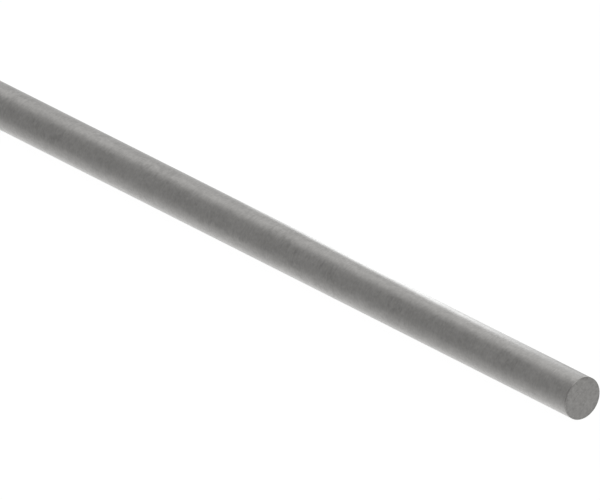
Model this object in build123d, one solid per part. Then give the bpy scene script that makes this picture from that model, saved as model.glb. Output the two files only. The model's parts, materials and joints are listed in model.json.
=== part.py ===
from build123d import *
import os

# Round metal bar: one piece of solid round stock, sawn square to length, with the sharp
# edge that the saw leaves at each end lightly broken.
# The bar lies along X on the level plane Z = 0. The origin is on that plane, under the
# middle of the bar. All sizes are in millimetres.

# Driving dimensions
bar_diameter = 20.0
bar_length = 500.0
edge_break = 0.3  # leg of the small 45 degree chamfer round each end face

# Sizes that follow from them
bar_radius = bar_diameter / 2
half_length = bar_length / 2
end_face_radius = bar_radius - edge_break
shoulder_x = half_length - edge_break  # where the round surface meets its chamfer


def half_section():
    """The bar's section above its axis: end face, chamfer, round surface, chamfer, end face."""
    outline = Polyline(
        (-half_length, 0),
        (-half_length, end_face_radius),
        (-shoulder_x, bar_radius),
        (shoulder_x, bar_radius),
        (half_length, end_face_radius),
        (half_length, 0),
        close=True,
    )
    return make_face(Plane.XZ * outline)


def round_bar():
    """The half section turned once about the bar's axis, then set down on the plane Z = 0."""
    turned = revolve(half_section(), Axis.X)
    return Pos(0, 0, bar_radius) * turned


os.makedirs("parts", exist_ok=True)
export_step(round_bar(), "parts/round_bar.step")
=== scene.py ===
import json
import math

import bpy
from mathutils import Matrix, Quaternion, Vector, noise


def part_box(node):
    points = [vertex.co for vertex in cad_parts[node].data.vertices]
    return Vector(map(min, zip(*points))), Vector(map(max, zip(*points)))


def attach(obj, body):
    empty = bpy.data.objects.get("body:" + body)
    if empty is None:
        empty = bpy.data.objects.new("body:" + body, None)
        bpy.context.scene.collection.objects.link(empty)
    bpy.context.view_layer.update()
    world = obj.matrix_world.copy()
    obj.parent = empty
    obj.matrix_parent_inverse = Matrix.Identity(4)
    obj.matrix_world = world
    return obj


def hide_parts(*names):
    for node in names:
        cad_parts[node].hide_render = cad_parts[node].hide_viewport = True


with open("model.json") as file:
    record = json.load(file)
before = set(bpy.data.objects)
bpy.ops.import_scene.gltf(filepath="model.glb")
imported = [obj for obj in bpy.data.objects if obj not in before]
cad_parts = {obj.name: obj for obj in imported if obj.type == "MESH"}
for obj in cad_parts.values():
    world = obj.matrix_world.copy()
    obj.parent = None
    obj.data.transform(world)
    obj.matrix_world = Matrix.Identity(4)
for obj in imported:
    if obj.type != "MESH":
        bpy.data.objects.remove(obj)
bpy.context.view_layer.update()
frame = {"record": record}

# Round metal bar: satin drawn steel stock, sawn square, its edges lightly broken.
# Everything is in metres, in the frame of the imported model: the bar lies along X on the
# floor Z = 0, and the end at +X is the one nearest to the camera.

mm = 0.001

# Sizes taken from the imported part
bar_low, bar_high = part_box("round_bar")
bar_radius = (bar_high.z - bar_low.z) / 2
half_length = (bar_high.x - bar_low.x) / 2
round_surface = next(m for m in frame["record"]["mounts"] if m["name"] == "round_surface")
edge_break = half_length - round_surface["dims"]["length_mm"] / 2 * mm

# The photograph's view, which shows no perspective, so the lens is very long
image_width = 600
image_height = 500
sensor_width = 36.0
lens = 1400.0
camera_azimuth = math.radians(50.9)
camera_elevation = math.radians(24.145)
camera_distance = 10.265
camera_reach = 100
near_end_pixel = (582.6, 398.61)  # where the middle of the near end face shows

# Relief of the ends
corner_radius = 0.08 * mm  # the small rounding at both sides of the broken edge
saw_depth = 0.015 * mm
saw_pitch = 0.9 * mm
saw_run = 9 * mm  # how far one mark of the saw goes on
saw_slope = math.radians(35)
saw_seed = 0.37

# Places on the rim of an end face, as angles above the level
painted_shade_angle = math.radians(28)  # where the rim gets painted shade
painted_highlight_angle = math.radians(70)  # where the rim gets a painted highlight


# Mesh of the bar


def edge_profile():
    """The broken edge from the end face to the round surface, as (x, radius) points.

    It is a 45 degree flat between two small roundings.
    """
    steps = 5
    turn = math.radians(45)
    reach = corner_radius * math.tan(turn / 2)  # from a corner to where its rounding starts
    face_radius = bar_radius - edge_break
    shoulder_x = half_length - edge_break
    points = []
    for i in range(steps + 1):
        a = turn * i / steps
        points.append((
            half_length - corner_radius * (1 - math.cos(a)),
            face_radius - reach + corner_radius * math.sin(a),
        ))
    for i in range(steps + 1):
        a = turn + turn * i / steps
        points.append((
            shoulder_x - reach + corner_radius * math.cos(a),
            bar_radius - corner_radius * (1 - math.sin(a)),
        ))
    return points


def ring_profile():
    """The turned outline from the middle of the +X end face to the middle of the -X one.

    The round surface starts a short way off each edge, so that the edge's shading stays
    off its long faces.
    """
    face_rings = 40
    body_rings = 120
    edge = edge_profile()
    rim = edge[0][1]
    near_face = [(half_length, rim * i / face_rings) for i in range(1, face_rings)]
    straight = edge[-1][0] - edge_break
    body = [(straight * (1 - 2 * i / body_rings), bar_radius) for i in range(body_rings + 1)]
    near_half = near_face + edge
    far_half = [(-x, r) for x, r in reversed(near_half)]
    return near_half + body + far_half


def saw_relief(y, z, r):
    """How far the saw's marks sink the end face at a point, in metres."""
    along = y * math.cos(saw_slope) + z * math.sin(saw_slope)
    across = z * math.cos(saw_slope) - y * math.sin(saw_slope)
    mark = 0.5 + 0.5 * noise.noise(Vector((along / saw_run, across / saw_pitch, saw_seed)))
    fade = min(1, max(0, (bar_radius - edge_break - r) / edge_break))
    return saw_depth * mark * fade


def turned_bar(name):
    """A closed lathe mesh of the bar, with the saw's fine relief on its end faces."""
    segments = 192
    rings = ring_profile()
    verts = [(half_length - saw_relief(0, 0, 0), 0, bar_radius)]
    for x, r in rings:
        flat = abs(x) == half_length
        for k in range(segments):
            a = 2 * math.pi * k / segments
            y, z = r * math.cos(a), r * math.sin(a)
            sunk = saw_relief(y, z, r) if flat else 0
            verts.append((x - math.copysign(sunk, x), y, bar_radius + z))
    verts.append((-half_length + saw_relief(0, 0, 0), 0, bar_radius))
    last = len(verts) - 1
    faces = []
    for k in range(segments):
        faces.append((0, 1 + k, 1 + (k + 1) % segments))
    for i in range(len(rings) - 1):
        a, b = 1 + i * segments, 1 + (i + 1) * segments
        for k in range(segments):
            n = (k + 1) % segments
            faces.append((a + k, b + k, b + n, a + n))
    base = 1 + (len(rings) - 1) * segments
    for k in range(segments):
        faces.append((last, base + (k + 1) % segments, base + k))
    mesh = bpy.data.meshes.new(name)
    mesh.from_pydata(verts, [], faces)
    mesh.validate()
    for p in mesh.polygons:
        p.use_smooth = True
    bar = bpy.data.objects.new(name, mesh)
    bpy.context.scene.collection.objects.link(bar)
    return bar


# Nodes that the materials and the studio share


def feed(tree, socket, value):
    """Gives a node's input a value, which is another node's output or a number."""
    if isinstance(value, bpy.types.NodeSocket):
        tree.links.new(value, socket)
    else:
        socket.default_value = value


def join(tree, operation, *values):
    """A Math node's result."""
    node = tree.nodes.new("ShaderNodeMath")
    node.operation = operation
    for socket, value in zip(node.inputs, values):
        feed(tree, socket, value)
    return node.outputs[0]


def ramp(tree, value, low, high):
    """0 below low, 1 above high and smooth between them."""
    node = tree.nodes.new("ShaderNodeMapRange")
    node.interpolation_type = "SMOOTHSTEP"
    node.inputs["From Min"].default_value = low
    node.inputs["From Max"].default_value = high
    tree.links.new(value, node.inputs["Value"])
    return node.outputs["Result"]


def mix(tree, share, first, second):
    """The first value where share is 0 and the second where it is 1."""
    node = tree.nodes.new("ShaderNodeMix")
    node.data_type = "FLOAT"
    feed(tree, node.inputs["Factor"], share)
    feed(tree, node.inputs["A"], first)
    feed(tree, node.inputs["B"], second)
    return node.outputs[0]


# Patterns and masks


def cells(tree, size, detail=0.0, rough=0.5, shift=0.0, turn=0.0):
    """Noise about 0.5 whose cells are size long, in metres along X, Y and Z, turned about X."""
    place = tree.nodes.new("ShaderNodeTexCoord")
    fit = tree.nodes.new("ShaderNodeMapping")
    pattern = tree.nodes.new("ShaderNodeTexNoise")
    fit.vector_type = "TEXTURE"
    fit.inputs["Location"].default_value = [-shift * s for s in size]
    fit.inputs["Rotation"].default_value = (turn, 0, 0)
    fit.inputs["Scale"].default_value = size
    pattern.inputs["Scale"].default_value = 1
    pattern.inputs["Detail"].default_value = detail
    pattern.inputs["Roughness"].default_value = rough
    tree.links.new(place.outputs["Object"], fit.inputs["Vector"])
    tree.links.new(fit.outputs["Vector"], pattern.inputs["Vector"])
    return pattern.outputs["Fac"]


def place_of(tree):
    """A point's x, y and z in metres."""
    place = tree.nodes.new("ShaderNodeTexCoord")
    split = tree.nodes.new("ShaderNodeSeparateXYZ")
    tree.links.new(place.outputs["Object"], split.inputs[0])
    return split.outputs


def near_end(tree, start, full):
    """0 up to start from an end of the bar and 1 from full on, both in metres from that end."""
    x = place_of(tree)["X"]
    return ramp(tree, join(tree, "ABSOLUTE", x), half_length - start, half_length - full)


def near_rim(tree, start, full):
    """On an end face: 0 up to start from the round surface and 1 from full on, in metres."""
    x, y, z = place_of(tree)
    up = join(tree, "SUBTRACT", z, bar_radius)
    square = join(tree, "MULTIPLY_ADD", y, y, join(tree, "MULTIPLY", up, up))
    return ramp(tree, join(tree, "SQRT", square), bar_radius - start, bar_radius - full)


def rim_side(tree, angle, start, full):
    """1 at one place on the rim of an end face, fading to 0 at both its sides.

    The place is at an angle above the level, at the front at +X and at the back at -X. The
    mask is 0 from start round the rim and 1 up to full, both as angles from that place.
    """
    x, y, z = place_of(tree)
    front = join(tree, "MULTIPLY", y, join(tree, "SIGN", x))
    up = join(tree, "SUBTRACT", z, bar_radius)
    reach = join(tree, "MULTIPLY", up, math.sin(angle) / bar_radius)
    reach = join(tree, "MULTIPLY_ADD", front, -math.cos(angle) / bar_radius, reach)
    return ramp(tree, reach, math.cos(start), math.cos(full))


def painted_shade_side(tree):
    """The stretch of the rim that gets painted shade."""
    return rim_side(tree, painted_shade_angle, start=math.radians(31), full=math.radians(11))


def painted_highlight_side(tree):
    """The stretch of the rim that gets a painted highlight."""
    return rim_side(tree, painted_highlight_angle, start=math.radians(21), full=math.radians(9))


# Materials


def vary(tree, level, pattern, swing):
    """The level with a pattern added that is about 0.5, which counts as no change."""
    return join(tree, "ADD", level, join(tree, "MULTIPLY_ADD", pattern, swing, -swing / 2))


def darken(tree, level, mask, depth):
    """The level less depth where the mask is 1."""
    return join(tree, "SUBTRACT", level, join(tree, "MULTIPLY", mask, depth))


def lighten(tree, level, mask, height):
    """The level plus height where the mask is 1."""
    return join(tree, "ADD", level, join(tree, "MULTIPLY", mask, height))


def metal(name, colour, roughness):
    """A bare metal, with its node tree and its shader."""
    material = bpy.data.materials.new(name)
    material.use_nodes = True
    shader = material.node_tree.nodes["Principled BSDF"]
    shader.inputs["Metallic"].default_value = 1.0
    shader.inputs["Base Color"].default_value = (*colour, 1)
    shader.inputs["Roughness"].default_value = roughness
    return material, material.node_tree, shader


def tint(tree, shader, colour, level):
    """Sets the base colour to colour times level."""
    scale = tree.nodes.new("ShaderNodeVectorMath")
    scale.operation = "SCALE"
    scale.inputs[0].default_value = colour
    tree.links.new(level, scale.inputs["Scale"])
    tree.links.new(scale.outputs["Vector"], shader.inputs["Base Color"])


def relief(tree, shader, pattern, depth):
    """Raises the surface where the pattern is high, by depth where it is 1."""
    bump = tree.nodes.new("ShaderNodeBump")
    bump.inputs["Strength"].default_value = 1.0
    bump.inputs["Distance"].default_value = depth
    tree.links.new(pattern, bump.inputs["Height"])
    tree.links.new(bump.outputs["Normal"], shader.inputs["Normal"])


def drawn_steel():
    """The round surface: satin, with soft clouds and fine broken lines that run round the bar."""
    colour = (0.34, 0.334, 0.325)
    roughness = 0.35
    material, tree, shader = metal("drawn_steel", colour, roughness)

    cloud = cells(tree, (14 * mm, 9 * mm, 9 * mm), detail=3, rough=1.0, shift=9.5)
    grain = cells(tree, (1.0 * mm, 1.4 * mm, 1.4 * mm), detail=1, shift=3.1)
    lines = cells(tree, (0.3 * mm, 4 * mm, 4 * mm), detail=2, rough=0.6, shift=6.4)
    level = vary(tree, 1.0, cloud, swing=0.44)
    level = vary(tree, level, grain, swing=0.36)
    level = vary(tree, level, lines, swing=0.42)

    # Darker streaks, in a few patches only
    streaks = ramp(tree, cells(tree, (1.8 * mm, 5 * mm, 5 * mm), shift=7.7), low=0.50, high=0.64)
    patches = ramp(tree, cells(tree, (24 * mm, 9 * mm, 9 * mm), shift=1.3), low=0.57, high=0.68)
    level = darken(tree, level, join(tree, "MULTIPLY", streaks, patches), depth=0.10)

    # Painted light: a little paler towards the ends. Also darker beside the broken edge
    level = lighten(tree, level, near_end(tree, start=40 * mm, full=10 * mm), height=0.04)
    level = darken(tree, level, near_end(tree, start=1.2 * mm, full=edge_break), depth=0.07)
    tint(tree, shader, colour, level)

    sheen = cells(tree, (30 * mm, 12 * mm, 12 * mm), shift=5.2)
    tree.links.new(vary(tree, roughness, sheen, swing=0.06), shader.inputs["Roughness"])
    relief(tree, shader, lines, depth=0.001 * mm)
    return material


def sawn_steel():
    """The end faces: duller, mottled, with fine lines along the saw's path."""
    colour = (0.336, 0.33, 0.321)
    material, tree, shader = metal("sawn_steel", colour, roughness=0.55)

    mottle = cells(tree, (2 * mm, 2 * mm, 2 * mm), detail=3, rough=0.8)
    lines = cells(tree, (1000 * mm, 6 * mm, 0.22 * mm), detail=2, rough=0.6, turn=saw_slope)
    level = vary(tree, 1.0, mottle, swing=0.78)
    level = vary(tree, level, lines, swing=0.42)

    # More mottled towards the rim
    uneven = join(tree, "SUBTRACT", mottle, 0.5)
    rim_mottle = join(tree, "MULTIPLY", uneven, near_rim(tree, start=3.5 * mm, full=1.2 * mm))
    level = lighten(tree, level, rim_mottle, height=0.3)

    # Darker along the rim, and darker still where painted shade falls on one stretch of it
    painted_rim_shade = join(tree, "MULTIPLY", near_rim(tree, start=0.9 * mm, full=0.4 * mm), painted_shade_side(tree))
    level = darken(tree, level, near_rim(tree, start=1.6 * mm, full=0.6 * mm), depth=0.07)
    level = darken(tree, level, painted_rim_shade, depth=0.25)
    tint(tree, shader, colour, level)

    relief(tree, shader, lines, depth=0.008 * mm)
    return material


def filed_steel():
    """The broken edge between them: darkest where painted shade falls on its rim, and bright where it
    has a painted highlight.
    """
    colour = (0.275, 0.27, 0.262)
    material, tree, shader = metal("filed_steel", colour, roughness=0.5)

    mottle = cells(tree, (1.5 * mm, 1.5 * mm, 1.5 * mm), detail=2, rough=0.7)
    level = vary(tree, 1.0, mottle, swing=1.0)
    # Painted shade on one stretch of the rim
    level = darken(tree, level, painted_shade_side(tree), depth=0.38)
    # Painted highlight on the stretch of the rim near its top
    level = lighten(tree, level, painted_highlight_side(tree), height=0.6)
    tint(tree, shader, colour, level)
    return material


def finish_bar(bar):
    """Gives each face its finish, by how far it faces along the bar."""
    square_on = 0.95  # an end face leans at least this far along X ...
    slanted = 0.05  # ... and a broken edge this far
    drawn, sawn, filed = range(3)
    for material in (drawn_steel(), sawn_steel(), filed_steel()):
        bar.data.materials.append(material)
    for p in bar.data.polygons:
        lean = abs(p.normal.x)
        if lean > square_on:
            p.material_index = sawn
        elif lean > slanted:
            p.material_index = filed
        else:
            p.material_index = drawn


bar = turned_bar("round_bar_surface")
finish_bar(bar)
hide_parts("round_bar")
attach(bar, "root")


# Floor


def plain_floor():
    """A plain floor that the camera sees as white, with a trace of the bar's shadow.

    The bar doesn't reflect the floor: the studio's own tones light it from below too.
    """
    reach = 3.0
    pale = (0.9, 0.9, 0.9, 1)
    white_share = 0.965  # of what the camera sees; the rest is the lit floor with its shadow
    white_strength = 1.02
    corners = [(-reach, -reach, 0), (reach, -reach, 0), (reach, reach, 0), (-reach, reach, 0)]
    mesh = bpy.data.meshes.new("floor")
    mesh.from_pydata(corners, [], [(0, 1, 2, 3)])
    floor = bpy.data.objects.new("floor", mesh)
    bpy.context.scene.collection.objects.link(floor)

    material = bpy.data.materials.new("white_floor")
    material.use_nodes = True
    tree = material.node_tree
    nodes, links = tree.nodes, tree.links
    nodes.clear()
    out = nodes.new("ShaderNodeOutputMaterial")
    both = nodes.new("ShaderNodeMixShader")
    matt = nodes.new("ShaderNodeBsdfDiffuse")
    white = nodes.new("ShaderNodeEmission")
    path = nodes.new("ShaderNodeLightPath")
    matt.inputs["Color"].default_value = pale
    white.inputs["Strength"].default_value = white_strength
    share = join(tree, "MULTIPLY", path.outputs["Is Camera Ray"], white_share)
    links.new(share, both.inputs[0])
    links.new(matt.outputs[0], both.inputs[1])
    links.new(white.outputs[0], both.inputs[2])
    links.new(both.outputs[0], out.inputs["Surface"])
    floor.data.materials.append(material)
    floor.visible_glossy = False
    floor.visible_shadow = False


plain_floor()


# Studio light

# How bright the studio is round the bar: degrees from straight up, with the front as plus
floor_tone = 1.29
studio_tones = [
    (-180, floor_tone),
    (-60, 0.87),  # wall behind
    (-25, 1.17),  # soft panel overhead, a little behind the bar
    (30, 0.51),  # dark side in front, from overhead ...
    (90, 0.49),  # ... down to level
    (170, 1.00),  # floor in front
    (180, floor_tone),
]


def tone_round(tree, side, up):
    """The studio's tone in a direction, by its angle from straight up towards one side."""
    peak = 1.5  # a colour ramp holds no more than 1, so it holds the tones over this
    angle = join(tree, "ARCTAN2", side, up)
    turn = tree.nodes.new("ShaderNodeMapRange")
    turn.inputs["From Min"].default_value = -math.pi
    turn.inputs["From Max"].default_value = math.pi
    bands = tree.nodes.new("ShaderNodeValToRGB")
    bands.color_ramp.interpolation = "EASE"
    stops = bands.color_ramp.elements
    stops[0].position = 0
    stops[1].position = 1
    for degrees, _ in studio_tones[1:-1]:
        stops.new((degrees + 180) / 360)
    for stop, (_, tone) in zip(stops, studio_tones):
        grey = tone / peak
        stop.color = (grey, grey, grey, 1)
    tree.links.new(angle, turn.inputs["Value"])
    tree.links.new(turn.outputs[0], bands.inputs[0])
    return join(tree, "MULTIPLY", bands.outputs["Color"], peak)


def studio_world():
    """A studio whose tones run round the bar, and that is the same seen from behind.

    The camera sees plain white. Reflections see the tones, which draw the bands along the
    metal: plain white all round it would leave it one even grey.
    """
    mirror_start = 0.1  # how far a direction leans to +X where the mirrored tones start ...
    mirror_full = 0.5  # ... and where only they are left
    world = bpy.data.worlds.new("studio")
    bpy.context.scene.world = world
    world.use_nodes = True
    tree = world.node_tree
    nodes, links = tree.nodes, tree.links
    nodes.clear()
    out = nodes.new("ShaderNodeOutputWorld")
    background = nodes.new("ShaderNodeBackground")
    background.inputs["Color"].default_value = (1, 1, 1, 1)
    coords = nodes.new("ShaderNodeTexCoord")
    split = nodes.new("ShaderNodeSeparateXYZ")
    links.new(coords.outputs["Generated"], split.inputs[0])
    x, y, z = split.outputs
    front = tone_round(tree, join(tree, "MULTIPLY", y, -1), z)
    behind = tone_round(tree, y, z)
    studio = mix(tree, ramp(tree, x, mirror_start, mirror_full), front, behind)
    path = nodes.new("ShaderNodeLightPath")
    straight = join(tree, "MAXIMUM", path.outputs["Is Camera Ray"], path.outputs["Is Transmission Ray"])
    links.new(mix(tree, straight, studio, 1.0), background.inputs["Strength"])
    links.new(background.outputs[0], out.inputs["Surface"])


def lamp(name, place, facing, width, height, radiance, roll=0.0):
    """A rectangular lamp that the camera doesn't see."""
    data = bpy.data.lights.new(name, "AREA")
    data.shape = "RECTANGLE"
    data.size = width
    data.size_y = height
    data.energy = radiance * 4 * width * height  # the power that gives this radiance
    light = bpy.data.objects.new(name, data)
    bpy.context.scene.collection.objects.link(light)
    light.location = place
    light.rotation_mode = "QUATERNION"
    turn = Vector(facing).to_track_quat("-Z", "Y")
    light.rotation_quaternion = turn @ Quaternion((0, 0, 1), roll)
    light.visible_camera = False
    return light


def strip_light():
    """A soft strip behind the bar, which gives the pale stretch along its upper edge.

    The wider lamp stands a little further back and fades the strip's long edges.
    """
    forwards = (0, -1, 0)
    middle = lamp(
        "strip_middle",
        place=(-0.072, 0.198, 0.0495),
        facing=forwards,
        width=0.091,
        height=0.170,
        radiance=0.87,
        roll=math.radians(28.5),
    )
    edges = lamp(
        "strip_edges",
        place=(-0.060, 0.202, 0.0445),
        facing=forwards,
        width=0.190,
        height=0.225,
        radiance=0.49,
        roll=math.radians(26),
    )
    for strip in (middle, edges):
        strip.data.color = (0.97, 0.99, 1.01)
        strip.visible_diffuse = False


def key_light():
    """A soft light overhead for the floor, which the metal doesn't reflect."""
    key = lamp("key_light", place=(0, 0, 1.2), facing=(0, 0, -1), width=1.6, height=1.6, radiance=0.8)
    key.visible_glossy = False


studio_world()
strip_light()
key_light()


# Camera


def photo_camera():
    """Looks along the photograph's view, with the near end where the photograph has it."""
    back = Vector((
        math.sin(camera_azimuth) * math.cos(camera_elevation),
        -math.cos(camera_azimuth) * math.cos(camera_elevation),
        math.sin(camera_elevation),
    ))
    turn = back.to_track_quat("Z", "Y")
    right = turn @ Vector((1, 0, 0))
    up = turn @ Vector((0, 1, 0))
    per_pixel = sensor_width / image_width / lens * camera_distance
    across = (near_end_pixel[0] - image_width / 2) * per_pixel
    above = (image_height / 2 - near_end_pixel[1]) * per_pixel
    face_middle = Vector((half_length, 0, bar_radius))
    data = bpy.data.cameras.new("camera")
    data.sensor_width = sensor_width
    data.lens = lens
    data.clip_end = camera_reach
    camera = bpy.data.objects.new("camera", data)
    bpy.context.scene.collection.objects.link(camera)
    camera.rotation_mode = "QUATERNION"
    camera.rotation_quaternion = turn
    camera.location = face_middle + back * camera_distance - right * across - up * above
    bpy.context.scene.camera = camera


photo_camera()
bpy.context.scene.view_settings.view_transform = "Standard"
